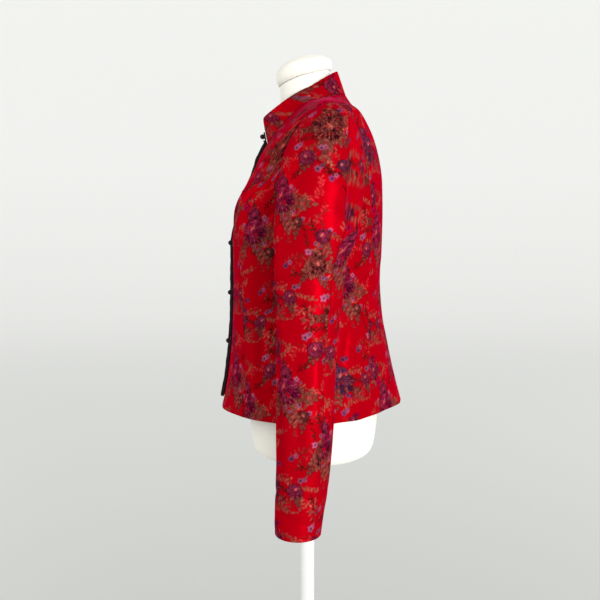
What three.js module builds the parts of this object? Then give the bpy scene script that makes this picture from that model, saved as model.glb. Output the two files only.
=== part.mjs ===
// A women's tang jacket of flowered brocade, worn by a limbless dress form on a stand.
// Millimetres, +Z up. The front faces -Y and the wearer's left is +X. The origin is the middle of the stand's foot.
import * as THREE from "three";

// ---------------------------------------------------------------- driving dimensions

const CLOTH = 1.6; // the brocade and its lining together
const SEAM_GAP = 0.3; // between two pieces that are sewn together
const ARMHOLE_GAP = 0.6; // between the body's armhole and the sleeve's head
const COLLAR_GAP = 0.9; // between the neckline and the collar

const SEAT_Z = 748; // the lowest face of the dress form
const POLE_RADIUS = 12.5;
const BASE_RADIUS = 176;
const BASE_THICK = 10;

const BAND_WIDTH = 13; // the dark band along the right front's edge
const BAND_PROUD = 8; // how far it stands in front of the cloth
const BAND_FOOT = 12; // how far above the hem it ends
const BAND_INSET = 1; // its edge stands this far to the right of centre front
const BAND_ROUND = 2; // the rounding of its two edges
const ON_PANEL_GAP = 0.6; // between a panel and what lies on it
const ABOVE_NECK_LEAN = 0.2; // how far forward the band and top knot run for each millimetre above the neckline
const NECK_BEND = 8; // the height over which the band turns from the chest's slope to the collar's
const BAND_TOP_Z = 1287; // its square upper end, in front of the collar
const KNOT_RADIUS = 4.5;
const KNOT_HEIGHTS = [1290, 1192, 1107, 1021, 936];
const KNOT_X = 8.5;
const KNOT_PROUD = 6.2; // from the cloth to the middle of a knot
const LOOP_CORD = 1.3; // half the thickness of the loop's cord
const LOOP_PROUD = 2.2;
const FLANGE = { radius: 34, thick: 10, bevel: 3 };
const FOOT = { radius: 24, height: 34, rim: 8, shoulder: 4 };
const BASE_BEVEL = 4;

// How finely each form is faceted: columns across a panel, and segments round a turned or lofted form.
const PANEL_COLUMNS = { front: 7, side_front: 5, side_back: 4, back: 6 };
const TORSO_COLUMNS = 24;
const CAP_COLUMNS = 20;
const BALL_SEGMENTS = [10, 6];
const LOOP_SEGMENTS = [5, 10];
const FLANGE_SEGMENTS = 32;
const POLE_SEGMENTS = 24;
const BASE_SEGMENTS = 48;

const DEG = Math.PI / 180;

// ---------------------------------------------------------------- tables of sections

const table = (columns, rows) =>
  rows.map((row) => Object.fromEntries(columns.map((name, i) => [name, row[i]])));

// One row for each section round the body, from the hem to the neckline. zFront, zSide and zBack are its heights at
// centre front, side and centre back; front, sideY and back are its places along Y there; half is half its width;
// squareFront and squareBack are the powers of its superellipse, 2 for an ellipse and more for a squarer section.
const SECTION_COLUMNS = [
  "zFront", "zSide", "zBack", "front", "sideY", "back", "half", "squareFront", "squareBack",
];
const BODY = table(SECTION_COLUMNS, [
  [823, 828, 832, -150, 12, 165, 201, 1.7, 1.55],
  [860, 862, 865, -142, 11, 156, 196, 1.8, 1.65],
  [900, 901, 902, -136, 10, 147, 187, 2.0, 1.8],
  [939, 939, 939, -132, 9, 139, 177, 2.2, 2.0],
  [977, 977, 977, -129.5, 8, 131, 167, 2.4, 2.2],
  [1013, 1013, 1013, -128.5, 7, 127, 162, 2.5, 2.3],
  [1048, 1048, 1048, -128, 7, 125, 163, 2.6, 2.4],
  [1083, 1083, 1083, -127.5, 8, 127, 166, 2.7, 2.4],
  [1114, 1116, 1118, -126, 9, 128, 170, 2.8, 2.4],
  [1141, 1145, 1150, -119, 11, 128.5, 172, 2.8, 2.4],
  [1166, 1180, 1184, -111, 13, 128, 180, 2.7, 2.4],
  [1188, 1215, 1217, -103, 16, 126.5, 186, 2.6, 2.4],
  [1206, 1250, 1249, -97, 18, 121, 191, 2.5, 2.4],
  [1220, 1280, 1278, -92, 21, 113, 195, 2.4, 2.3],
  [1231, 1303, 1300, -88.5, 25, 102.5, 198, 2.28, 2.3],
  [1241, 1320, 1316, -85.5, 28, 93, 197, 2.15, 2.2],
  [1249, 1326, 1325, -83, 24, 86.5, 175, 2.1, 2.2],
  [1256, 1330.5, 1333.5, -79.5, 18, 80.5, 149, 2.1, 2.1],
  [1263, 1334, 1342, -76.5, 12, 75, 121, 2.1, 2.1],
  [1270, 1337, 1351, -73, 6, 70, 94, 2.1, 2.1],
  [1277, 1340, 1360, -69, 0, 65, 70, 2.1, 2.1],
]);
const UNDERARM = 9; // the section at the foot of the armhole
const TIP = 15; // the section at the tip of the shoulder
const NECK = 20; // the section at the neckline
const PRINCESS_TOP = (UNDERARM + TIP) / 2; // where the princess seams run into the armhole

// How fast a section's height leaves its side's height towards centre front and centre back.
const RISE_POWER = 1.1;

// The armhole reaches this many degrees forward and back of the side seam at its middle.
const ARMHOLE_FRONT = 26;
const ARMHOLE_BACK = 38;

// Degrees from centre front of the two princess seams, at the sections named.
const PRINCESS = table(["section", "frontAngle", "backAngle"], [
  [0, 41, 132],
  [3, 38, 134],
  [5, 36, 138],
  [8, 29, 140],
  [9, 30, 139],
  [10.5, 42, 134],
  [12, 63, 127],
]);

// The fullness over the bust, as one soft swelling each side.
const BUST = { depth: 16, angle: 27, spread: 19, height: 1170, reach: 46 };

// Soft flutes of the skirt. Each is a ridge, or a trough where depth is below 0, at its full depth at the hem.
const FLUTES = table(["angle", "spread", "depth", "top"], [
  [18, 9, 2.5, 960],
  [62, 8, -3, 980],
  [108, 7, -4, 990],
  [121, 6, 3.5, 1000],
  [146, 8, -3.5, 985],
  [164, 7, 2.5, 960],
  [-22, 9, 2.0, 950],
  [-66, 8, -3.5, 985],
  [-112, 7, -3, 980],
  [-127, 7, 3.5, 995],
  [-150, 8, -3, 975],
]);

// Half-rings of the sleeve below its head, from the biceps to the cuff: the middle, then half its widths in X and Y.
const SLEEVE = table(["z", "x", "y", "halfX", "halfY"], [
  [1128, 218.5, 12, 43, 65],
  [1100, 219.5, 6, 42.5, 59],
  [1066, 221.5, 1, 42, 54],
  [1015, 227, 0, 42, 49.5],
  [975, 232, -2, 41.5, 46.5],
  [935, 237, -4, 41, 44.5],
  [890, 242, -4.5, 40.5, 43.8],
  [834, 247, -6, 40.5, 42.8],
  [780, 249, -8, 40.5, 40.5],
  [740, 250, -11, 41, 39],
  [710, 250.5, -14, 41.5, 36.8],
  [678, 251, -16, 42, 34.5],
]);
const CAP_STEPS = 6; // sections of the sleeve's head
const SLEEVE_STEP = 20; // degrees between the columns of a sleeve
const BACK_SLEEVE_SEAM = -40; // degrees round the sleeve from its outermost line, forward being positive
const FRONT_SLEEVE_SEAM = 120;

// The stand-up collar's upper edge, in the columns of a body section.
const COLLAR_TOP = table(SECTION_COLUMNS, [[1319, 1364, 1399, -77, -2, 52, 57, 2.1, 2.1]])[0];
const COLLAR_END = 2; // from centre front to each end of the collar
const COLLAR_CORNER = 17; // radius of its rounded front corners

// The dress form from its lowest face to the top of the neck, and the cap on its neck, in the same columns.
const FORM = table(SECTION_COLUMNS, [
  [SEAT_Z, SEAT_Z, SEAT_Z, -84, 10, 104, 140, 2.2, 2.2],
  [762, 762, 762, -96, 10, 116, 152, 2.2, 2.2],
  [830, 830, 830, -102, 10, 123, 163, 2.2, 2.2],
  [900, 900, 900, -100, 9, 116, 156, 2.2, 2.2],
  [960, 960, 960, -92, 7, 92, 134, 2.2, 2.2],
  [1013, 1013, 1013, -86, 5, 80, 123, 2.2, 2.2],
  [1070, 1070, 1070, -94, 6, 94, 134, 2.3, 2.2],
  [1130, 1130, 1132, -104, 8, 108, 146, 2.5, 2.3],
  [1168, 1176, 1182, -101, 11, 115, 155, 2.5, 2.3],
  [1200, 1222, 1226, -88, 15, 114, 166, 2.4, 2.3],
  [1222, 1262, 1266, -76, 19, 106, 176, 2.3, 2.2],
  [1238, 1290, 1294, -70, 23, 95, 175, 2.2, 2.2],
  [1250, 1308, 1314, -65, 20, 84, 152, 2.1, 2.1],
  [1262, 1320, 1332, -60, 12, 72, 118, 2.1, 2.1],
  [1278, 1330, 1348, -54, 4, 58, 80, 2.0, 2.0],
  [1304, 1344, 1366, -48, -2, 45, 54, 2.0, 2.0],
  [1340, 1366, 1384, -46.5, -4, 40, 47, 2.0, 2.0],
  [1374.5, 1388, 1401.5, -47.5, -4.5, 38.5, 46, 2.0, 2.0],
]);
const NECK_CAP = table(SECTION_COLUMNS, [
  [1375, 1388.5, 1402, -49, -4.5, 40, 47.5, 2.0, 2.0],
  [1381, 1394, 1407, -53, -5.5, 42, 50.5, 2.0, 2.0],
  [1393, 1404, 1414, -54, -6, 42, 51, 2.0, 2.0],
  [1405, 1413, 1420, -48.5, -5, 39, 47, 2.0, 2.0],
  [1416, 1421, 1425, -34, -3, 29, 34, 2.0, 2.0],
  [1423, 1425.5, 1427.5, -16, 0, 15, 16, 2.0, 2.0],
]);

// ---------------------------------------------------------------- materials

const material = (name, colour, roughness, metalness = 0) =>
  new THREE.MeshStandardMaterial({ name, color: colour, roughness, metalness });
const BROCADE = material("brocade", 0xb5081f, 0.5);
const DARK_TRIM = material("dark_trim", 0x1c0a12, 0.7);
const FORM_COVER = material("form_cover", 0xeeebe4, 0.75);
const STAND = material("stand", 0xd8d8d6, 0.4);

// ---------------------------------------------------------------- the surfaces

// A column's smooth value at a fractional section number, by a Catmull-Rom curve through the sections.
function valueAt(sections, column, v) {
  const last = sections.length - 1;
  const i = Math.min(Math.floor(v), last - 1);
  const t = v - i;
  const [a, b, c, d] = [-1, 0, 1, 2].map((k) => sections[Math.min(Math.max(i + k, 0), last)][column]);
  return b + 0.5 * t * (c - a + t * (2 * a - 5 * b + 4 * c - d + t * (3 * (b - c) + d - a)));
}

// A point of a section, at an angle from centre front (0) through the wearer's left (90) to centre back (180).
function sectionPoint(get, angle) {
  const cos = Math.cos(angle * DEG);
  const sin = Math.sin(angle * DEG);
  const inFront = cos > 0;
  const power = 2 / get(inFront ? "squareFront" : "squareBack");
  const depth = Math.abs(cos) ** power;
  const rise = Math.abs(cos) ** RISE_POWER;
  return new THREE.Vector3(
    get("half") * Math.sign(sin) * Math.abs(sin) ** power,
    get("sideY") + (get(inFront ? "front" : "back") - get("sideY")) * depth,
    get("zSide") + (get(inFront ? "zFront" : "zBack") - get("zSide")) * rise,
  );
}

const bell = (offset, spread) => Math.exp(-((offset / spread) ** 2));

// The outer face of the jacket's body.
function bodyPoint(angle, v) {
  const p = sectionPoint((column) => valueAt(BODY, column, v), angle);
  p.y -= BUST.depth * bell(Math.abs(angle) - BUST.angle, BUST.spread) * bell(p.z - BUST.height, BUST.reach);
  const hemZ = BODY[0].zSide;
  let out = 0;
  for (const flute of FLUTES) {
    const share = THREE.MathUtils.clamp((flute.top - p.z) / (flute.top - hemZ), 0, 1);
    out += flute.depth * share * share * bell(angle - flute.angle, flute.spread);
  }
  const radial = new THREE.Vector3(p.x, p.y, 0).normalize();
  return p.addScaledVector(radial, out);
}

// The unit normal of a surface f(u, v), pointing the way that turning from u to v gives.
function normalOf(f, u, v, stepU, stepV, lowV, highV) {
  const alongU = f(u + stepU, v).sub(f(u - stepU, v));
  const alongV = f(u, Math.min(v + stepV, highV)).sub(f(u, Math.max(v - stepV, lowV)));
  return alongU.cross(alongV).normalize();
}
const TURN_STEP = 0.6; // degrees and sections each way over which a direction on the body is measured
const UP_STEP = 0.08;
const bodyNormal = (angle, v) => normalOf(bodyPoint, angle, v, TURN_STEP, UP_STEP, 0, NECK);

// The armhole's edge as degrees from centre front, in front of the side seam or behind it.
function armholeWidth(v) {
  const share = THREE.MathUtils.clamp((v - UNDERARM) / (TIP - UNDERARM), 0, 1);
  return Math.sqrt(Math.max(0, 1 - (2 * share - 1) ** 2));
}
const armholeFront = (v) => 90 - ARMHOLE_FRONT * armholeWidth(v);
const armholeBack = (v) => 90 + ARMHOLE_BACK * armholeWidth(v);

// A princess seam's angle at section v, straight between the table's rows.
function princess(column, v) {
  const i = PRINCESS.findIndex((row) => row.section >= v);
  if (i <= 0) return PRINCESS[Math.max(i, 0)][column];
  const [low, high] = [PRINCESS[i - 1], PRINCESS[i]];
  return THREE.MathUtils.mapLinear(v, low.section, high.section, low[column], high[column]);
}

// ---------------------------------------------------------------- solids

// A closed solid from two grids of points with the same rows and columns, its outer and inner faces.
function solidOfGrids(outer, inner) {
  const rows = outer.length;
  const columns = outer[0].length;
  const positions = [...outer.flat(), ...inner.flat()].flatMap((p) => p.toArray());
  const id = (layer, i, j) => layer * rows * columns + i * columns + j;
  const index = [];
  const quad = (a, b, c, d) => index.push(a, b, c, a, c, d);
  for (let i = 0; i < rows - 1; i++)
    for (let j = 0; j < columns - 1; j++) {
      quad(id(0, i, j), id(0, i, j + 1), id(0, i + 1, j + 1), id(0, i + 1, j));
      quad(id(1, i, j), id(1, i + 1, j), id(1, i + 1, j + 1), id(1, i, j + 1));
    }
  for (let j = 0; j < columns - 1; j++) {
    quad(id(0, 0, j), id(1, 0, j), id(1, 0, j + 1), id(0, 0, j + 1));
    quad(id(0, rows - 1, j), id(0, rows - 1, j + 1), id(1, rows - 1, j + 1), id(1, rows - 1, j));
  }
  for (let i = 0; i < rows - 1; i++) {
    quad(id(0, i, 0), id(0, i + 1, 0), id(1, i + 1, 0), id(1, i, 0));
    quad(id(0, i, columns - 1), id(1, i, columns - 1), id(1, i + 1, columns - 1), id(0, i + 1, columns - 1));
  }
  return new THREE.BufferGeometry()
    .setAttribute("position", new THREE.Float32BufferAttribute(positions, 3))
    .setIndex(index);
}

function add(group, name, geometry, look) {
  const mesh = new THREE.Mesh(geometry, look);
  mesh.name = name;
  group.add(mesh);
  return mesh;
}

// The mirror image of a geometry across the middle plane, with its faces turned back outwards.
function mirrored(geometry) {
  const copy = geometry.clone();
  const position = copy.getAttribute("position");
  for (let i = 0; i < position.count; i++) position.setX(i, -position.getX(i));
  const index = copy.getIndex();
  for (let i = 0; i < index.count; i += 3) {
    const b = index.getX(i + 1);
    index.setX(i + 1, index.getX(i + 2));
    index.setX(i + 2, b);
  }
  return copy;
}

// ---------------------------------------------------------------- the jacket's body

// The sections where the panels have a row: the table's own, and in the armhole one for each column of the sleeve.
const ARMHOLE_ROWS = [];
for (let turn = 180; turn >= 0; turn -= SLEEVE_STEP)
  ARMHOLE_ROWS.push(UNDERARM + ((TIP - UNDERARM) * (1 + Math.cos(turn * DEG))) / 2);
const SKIRT_ROWS = Array.from({ length: UNDERARM }, (_, i) => i);
const SHOULDER_ROWS = Array.from({ length: NECK - TIP }, (_, i) => TIP + 1 + i);
const BODY_ROWS = [...SKIRT_ROWS, ...ARMHOLE_ROWS, ...SHOULDER_ROWS];

// A panel of the body between two edges, each a function of the section that gives an angle.
// Each side edge is drawn in by half a seam gap along the cloth.
function bodyPanel(from, to, columns, rows) {
  const outer = [];
  const inner = [];
  for (const v of rows) {
    const outerRow = [];
    const innerRow = [];
    for (let j = 0; j <= columns; j++) {
      const angle = THREE.MathUtils.lerp(from(v), to(v), j / columns);
      const p = bodyPoint(angle, v);
      const atEdge = (j === 0 ? 1 : 0) - (j === columns ? 1 : 0);
      if (atEdge !== 0) {
        const along = bodyPoint(angle + TURN_STEP, v).sub(bodyPoint(angle - TURN_STEP, v)).normalize();
        p.addScaledVector(along, (atEdge * SEAM_GAP) / 2);
      }
      outerRow.push(p);
      innerRow.push(p.clone().addScaledVector(bodyNormal(angle, v), -CLOTH));
    }
    outer.push(outerRow);
    inner.push(innerRow);
  }
  return solidOfGrids(outer, inner);
}

const TIP_OF_PANEL = 1.2; // degrees that a side panel is still wide at its upper point
const frontSeam = (v) => Math.min(princess("frontAngle", v), armholeFront(v) - TIP_OF_PANEL);
const backSeam = (v) => Math.max(princess("backAngle", v), armholeBack(v) + TIP_OF_PANEL);
const frontEdge = (v) => (v <= PRINCESS_TOP ? frontSeam(v) : armholeFront(v));
const backEdge = (v) => (v <= PRINCESS_TOP ? backSeam(v) : armholeBack(v));
const SIDE_ROWS = BODY_ROWS.filter((v) => v <= PRINCESS_TOP + 1e-9);
const opposite = (edge) => (v) => -edge(v);

function makeBody() {
  const group = new THREE.Group();
  const panels = {
    front: bodyPanel(() => 0, frontEdge, PANEL_COLUMNS.front, BODY_ROWS),
    side_front: bodyPanel(frontSeam, armholeFront, PANEL_COLUMNS.side_front, SIDE_ROWS),
    side_back: bodyPanel(armholeBack, backSeam, PANEL_COLUMNS.side_back, SIDE_ROWS),
    back: bodyPanel(backEdge, () => 180, PANEL_COLUMNS.back, BODY_ROWS),
  };
  // The flutes differ from side to side, so each side's panels are made at their own angles.
  const right = {
    front: bodyPanel(opposite(frontEdge), () => 0, PANEL_COLUMNS.front, BODY_ROWS),
    side_front: bodyPanel(opposite(armholeFront), opposite(frontSeam), PANEL_COLUMNS.side_front, SIDE_ROWS),
    side_back: bodyPanel(opposite(backSeam), opposite(armholeBack), PANEL_COLUMNS.side_back, SIDE_ROWS),
    back: bodyPanel(() => -180, opposite(backEdge), PANEL_COLUMNS.back, BODY_ROWS),
  };
  for (const name of Object.keys(panels)) {
    add(group, `${name}_left`, panels[name], BROCADE);
    add(group, `${name}_right`, right[name], BROCADE);
  }
  return group;
}

// ---------------------------------------------------------------- the sleeves

// The sleeve's outer face. turn is the angle round it from its outermost line, forward being positive;
// v runs from 0 at the armhole through 1 at the biceps to the cuff.
const SLEEVE_END = SLEEVE.length;
const SLEEVE_TURN_STEP = 1.5; // degrees and sections each way over which a sleeve's normal is measured
const SLEEVE_UP_STEP = 0.04;
function sleevePoint(turn, v) {
  const cos = Math.cos(turn * DEG);
  const sin = Math.sin(turn * DEG);
  const ring = (s) => {
    const get = (column) => valueAt(SLEEVE, column, s);
    return new THREE.Vector3(get("x") + get("halfX") * cos, get("y") - get("halfY") * sin, get("z"));
  };
  if (v >= 1) return ring(v - 1);
  const section = UNDERARM + ((TIP - UNDERARM) * (1 + cos)) / 2;
  const angle = sin >= 0 ? armholeFront(section) : armholeBack(section);
  const start = bodyPoint(angle, section);
  start.x += ARMHOLE_GAP;
  const end = ring(0);
  const swing = v * 90 * DEG; // a quarter turn, out of the shoulder and down
  return new THREE.Vector3(
    start.x + (end.x - start.x) * Math.sin(swing),
    start.y + (end.y - start.y) * (1 - Math.cos(swing)),
    end.z + (start.z - end.z) * Math.cos(swing),
  );
}

function sleevePanel(fromTurn, toTurn) {
  const levels = Array.from({ length: CAP_STEPS }, (_, i) => i / CAP_STEPS);
  for (let v = 1; v <= SLEEVE_END; v++) levels.push(v);
  levels.reverse();
  const turns = [];
  for (let turn = fromTurn; turn <= toTurn; turn += SLEEVE_STEP) turns.push(turn);
  turns.reverse();
  const outer = [];
  const inner = [];
  for (const v of levels) {
    const outerRow = [];
    const innerRow = [];
    turns.forEach((turn, j) => {
      const p = sleevePoint(turn, v);
      const n = normalOf(sleevePoint, turn, v, SLEEVE_TURN_STEP, SLEEVE_UP_STEP, 0, SLEEVE_END);
      const atEdge = (j === 0 ? 1 : 0) - (j === turns.length - 1 ? 1 : 0);
      if (atEdge !== 0) {
        const along = sleevePoint(turn - 1, v).sub(sleevePoint(turn + 1, v)).normalize();
        p.addScaledVector(along, (atEdge * SEAM_GAP) / 2);
      }
      outerRow.push(p);
      innerRow.push(p.clone().addScaledVector(n, -CLOTH));
    });
    outer.push(outerRow);
    inner.push(innerRow);
  }
  return solidOfGrids(outer, inner);
}

function makeSleeves() {
  const group = new THREE.Group();
  const top = sleevePanel(BACK_SLEEVE_SEAM, FRONT_SLEEVE_SEAM);
  const under = sleevePanel(FRONT_SLEEVE_SEAM, BACK_SLEEVE_SEAM + 360);
  add(group, "top_sleeve_left", top, BROCADE);
  add(group, "under_sleeve_left", under, BROCADE);
  add(group, "top_sleeve_right", mirrored(top), BROCADE);
  add(group, "under_sleeve_right", mirrored(under), BROCADE);
  return group;
}

// ---------------------------------------------------------------- the collar

// The collar's outer face at an angle from centre front, with share 0 at the neckline and 1 at its upper edge.
function collarPoint(angle, share) {
  const low = bodyPoint(angle, NECK);
  low.z += COLLAR_GAP;
  const high = sectionPoint((column) => COLLAR_TOP[column], angle);
  const height = high.distanceTo(low);
  const fromEnd = Math.abs(low.x) - COLLAR_END;
  const cut =
    Math.cos(angle * DEG) > 0 && fromEnd < COLLAR_CORNER
      ? COLLAR_CORNER - Math.sqrt(Math.max(0, COLLAR_CORNER ** 2 - (COLLAR_CORNER - fromEnd) ** 2))
      : 0;
  return low.lerp(high, share * (1 - cut / height));
}

// Degrees of the collar's columns: close together round its corner, then even steps to centre back.
const CORNER_ANGLES = [3.5, 6.5, 10.5, 16];
const AFTER_CORNER = 25;
const COLLAR_STEPS = 12;
const MID_HEIGHT = 0.5;

function makeCollar() {
  const start = Math.asin((COLLAR_END / BODY[NECK].half) ** (BODY[NECK].squareFront / 2)) / DEG;
  const rest = Array.from({ length: COLLAR_STEPS + 1 }, (_, i) =>
    THREE.MathUtils.lerp(AFTER_CORNER, 180, i / COLLAR_STEPS),
  );
  const half = [start, ...CORNER_ANGLES, ...rest];
  const angles = [...half, ...half.slice(0, -1).reverse().map((angle) => 360 - angle)];
  const outer = [];
  const inner = [];
  for (const share of [0, MID_HEIGHT, 1]) {
    const points = angles.map((angle) => collarPoint(angle, share));
    outer.push(points);
    inner.push(
      points.map((p, j) => {
        const along = collarPoint(angles[j] + TURN_STEP, MID_HEIGHT);
        along.sub(collarPoint(angles[j] - TURN_STEP, MID_HEIGHT));
        const up = collarPoint(angles[j], 1).sub(collarPoint(angles[j], 0));
        return p.clone().addScaledVector(along.cross(up).normalize(), -CLOTH);
      }),
    );
  }
  const group = new THREE.Group();
  add(group, "collar", solidOfGrids(outer, inner), BROCADE);
  return group;
}

// ---------------------------------------------------------------- the front band, its knots and loops

// The number for which a rising function reaches a goal.
function solve(rising, goal, low, high) {
  for (let i = 0; i < HALVINGS; i++) {
    const middle = (low + high) / 2;
    if (rising(middle) < goal) low = middle;
    else high = middle;
  }
  return (low + high) / 2;
}

const HALVINGS = 40;
const WIDEST_ANGLE = 60; // degrees each way of centre front within which the band and knots lie
const COLLAR_FACING = new THREE.Vector3(0, -1, -ABOVE_NECK_LEAN).normalize();

// A point in front of the cloth at a distance x across the front, at section v. Past the neckline it runs on
// straight up, in front of the collar.
function beforeFront(x, v, proud) {
  const onCloth = Math.min(v, NECK);
  const angle = solve((turn) => bodyPoint(turn, onCloth).x, x, -WIDEST_ANGLE, WIDEST_ANGLE);
  const p = bodyPoint(angle, onCloth);
  const past = Math.max(v - NECK, 0);
  p.z += past;
  p.y -= past * ABOVE_NECK_LEAN;
  const facing = bodyNormal(angle, onCloth).lerp(COLLAR_FACING, Math.min(past / NECK_BEND, 1)).normalize();
  return p.addScaledVector(facing, proud);
}

function makeBand() {
  const top = BODY[NECK].zFront;
  const levels = [solve((v) => bodyPoint(0, v).z, BODY[0].zFront + BAND_FOOT, 0, 1)];
  for (let v = 1; v < NECK; v++) levels.push(v);
  levels.push(NECK + BAND_TOP_Z - top);
  const left = -BAND_INSET;
  const right = left - BAND_WIDTH;
  const across = [right, right + BAND_ROUND, left - BAND_ROUND, left];
  const proud = [BAND_PROUD - BAND_ROUND / 2, BAND_PROUD, BAND_PROUD, BAND_PROUD - BAND_ROUND / 2];
  const outer = levels.map((v) => across.map((x, i) => beforeFront(x, v, proud[i])));
  const inner = levels.map((v) => across.map((x) => beforeFront(x, v, ON_PANEL_GAP)));
  const group = new THREE.Group();
  add(group, "front_band", solidOfGrids(outer, inner), DARK_TRIM);
  return group;
}

// A ball knot and the round cord loop behind it at each height, on the left front's edge.
function makeKnots() {
  const group = new THREE.Group();
  KNOT_HEIGHTS.forEach((z, i) => {
    const past = Math.max(z - BODY[NECK].zFront, 0);
    const v = past > 0 ? NECK + past : solve((s) => bodyPoint(0, s).z, z, 0, NECK);
    const foot = beforeFront(KNOT_X, v, 0);
    const facing = beforeFront(KNOT_X, v, 1).sub(foot).normalize();
    const turn = new THREE.Quaternion().setFromUnitVectors(new THREE.Vector3(0, 0, 1), facing);
    const place = (name, geometry, proud) => {
      const mesh = add(group, name, geometry, DARK_TRIM);
      mesh.quaternion.copy(turn);
      mesh.position.copy(foot).addScaledVector(facing, proud);
    };
    place(`knot_${i + 1}`, new THREE.SphereGeometry(KNOT_RADIUS, ...BALL_SEGMENTS), KNOT_PROUD);
    place(`loop_${i + 1}`, new THREE.TorusGeometry(KNOT_RADIUS + LOOP_CORD, LOOP_CORD, ...LOOP_SEGMENTS), LOOP_PROUD);
  });
  return group;
}

// ---------------------------------------------------------------- the dress form and its stand

// A closed solid through sections, each a full ring, with flat or pointed ends.
function loft(sections, columns) {
  const rings = sections.map((section) =>
    Array.from({ length: columns }, (_, j) => sectionPoint((column) => section[column], (360 * j) / columns)),
  );
  const middle = (ring) => ring.reduce((sum, p) => sum.add(p), new THREE.Vector3()).divideScalar(ring.length);
  const points = [...rings.flat(), middle(rings[0]), middle(rings.at(-1))];
  const foot = rings.length * columns;
  const index = [];
  for (let j = 0; j < columns; j++) {
    const k = (j + 1) % columns;
    for (let i = 0; i < rings.length - 1; i++) {
      const [a, b] = [i * columns + j, i * columns + k];
      index.push(a, b, b + columns, a, b + columns, a + columns);
    }
    const last = (rings.length - 1) * columns;
    index.push(foot, k, j);
    index.push(foot + 1, last + j, last + k);
  }
  return new THREE.BufferGeometry()
    .setAttribute("position", new THREE.Float32BufferAttribute(points.flatMap((p) => p.toArray()), 3))
    .setIndex(index);
}

// A turned solid about the Z axis. Each pair is a radius and a height, from the axis round and back to it.
function turned(profile, segments) {
  const geometry = new THREE.LatheGeometry(profile.map(([r, z]) => new THREE.Vector2(r, z)), segments);
  return geometry.rotateX(90 * DEG);
}

function makeForm() {
  const group = new THREE.Group();
  add(group, "form_torso", loft(FORM, TORSO_COLUMNS), FORM_COVER);
  add(group, "neck_cap", loft(NECK_CAP, CAP_COLUMNS), FORM_COVER);
  const footZ = BASE_THICK + SEAM_GAP;
  const footTop = footZ + FOOT.height;
  const poleZ = footTop + SEAM_GAP;
  const flangeTop = SEAT_Z - SEAM_GAP;
  const flangeZ = flangeTop - FLANGE.thick;
  const poleTop = flangeZ - SEAM_GAP;
  const flange = [
    [0, flangeZ],
    [FLANGE.radius - FLANGE.bevel, flangeZ],
    [FLANGE.radius, flangeZ + FLANGE.bevel],
    [FLANGE.radius, flangeTop],
    [0, flangeTop],
  ];
  const foot = [
    [0, footZ],
    [FOOT.radius, footZ],
    [FOOT.radius, footZ + FOOT.rim],
    [POLE_RADIUS + FOOT.shoulder, footTop],
    [0, footTop],
  ];
  const base = [
    [0, 0],
    [BASE_RADIUS, 0],
    [BASE_RADIUS, BASE_THICK - BASE_BEVEL],
    [BASE_RADIUS - BASE_BEVEL, BASE_THICK],
    [0, BASE_THICK],
  ];
  const pole = [[0, poleZ], [POLE_RADIUS, poleZ], [POLE_RADIUS, poleTop], [0, poleTop]];
  add(group, "pole_flange", turned(flange, FLANGE_SEGMENTS), STAND);
  add(group, "pole", turned(pole, POLE_SEGMENTS), STAND);
  add(group, "pole_foot", turned(foot, FLANGE_SEGMENTS), STAND);
  add(group, "base", turned(base, BASE_SEGMENTS), STAND);
  return group;
}

const jacketOnForm = new THREE.Group();
jacketOnForm.add(makeBody(), makeSleeves(), makeCollar(), makeBand(), makeKnots(), makeForm());

export default jacketOnForm;
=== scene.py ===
"""The looks of a red brocade tang jacket on a limbless dress form.

The cloth is worked out from the same sections as the CAD solids.
"""

import math

import bpy
import numpy as np
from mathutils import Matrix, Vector


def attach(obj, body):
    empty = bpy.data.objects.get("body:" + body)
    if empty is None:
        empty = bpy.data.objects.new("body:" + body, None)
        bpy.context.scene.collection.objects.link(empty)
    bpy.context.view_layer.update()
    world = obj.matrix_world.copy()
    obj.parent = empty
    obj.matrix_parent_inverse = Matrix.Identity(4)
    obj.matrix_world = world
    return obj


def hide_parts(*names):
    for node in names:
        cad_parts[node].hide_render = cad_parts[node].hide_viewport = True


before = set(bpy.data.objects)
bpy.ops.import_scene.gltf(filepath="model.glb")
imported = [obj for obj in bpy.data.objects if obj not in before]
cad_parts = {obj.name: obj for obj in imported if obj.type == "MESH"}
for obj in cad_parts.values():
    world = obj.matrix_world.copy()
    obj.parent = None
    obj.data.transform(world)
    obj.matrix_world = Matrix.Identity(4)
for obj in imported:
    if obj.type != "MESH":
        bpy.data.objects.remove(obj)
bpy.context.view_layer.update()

MM = 0.001


def table(columns, rows):
    """Rows of numbers as a column of values for each name."""
    return {name: np.array([row[i] for row in rows], float) for i, name in enumerate(columns)}


# ---- sizes, in millimetres

CLOTH = 1.6
HALF_GAP = 0.15  # from a seam's middle to each piece
ARMHOLE_GAP = 0.6
COLLAR_GAP = 0.9
HEM_TURN = 28  # how far the hem is turned up inside
CUFF_TURN = 24
TURN_ROWS = 4  # rows of vertices in a turned edge
EDGE_SINK, EDGE_REACH = 0.55, 1.3  # how far a seam's edge sinks, and how far in that is felt
# Between the cloth's vertices on the left, where it is seen closest, and how much coarser the right side is.
SPACING = {
    "front": 1.3, "side_front": 1.25, "side_back": 1.3, "back": 1.3, "top_sleeve": 1.1, "under_sleeve": 1.7,
}
COARSER = 1.75
USUAL_WIDTH = 80  # the percentile of a piece's widths that is divided into columns of that spacing
ROUGH_ROWS, ROUGH_COLUMNS = 240, 60  # the grid on which a piece's lengths are first measured
# Millimetres to a degree round the body and round a sleeve, and how strongly the creases are pressed.
BODY_DEGREE, SLEEVE_DEGREE = 2.7, 0.85
BODY_PRESS, LEFT_SLEEVE_PRESS, RIGHT_SLEEVE_PRESS = 1.5, 1.6, 1.35
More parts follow.
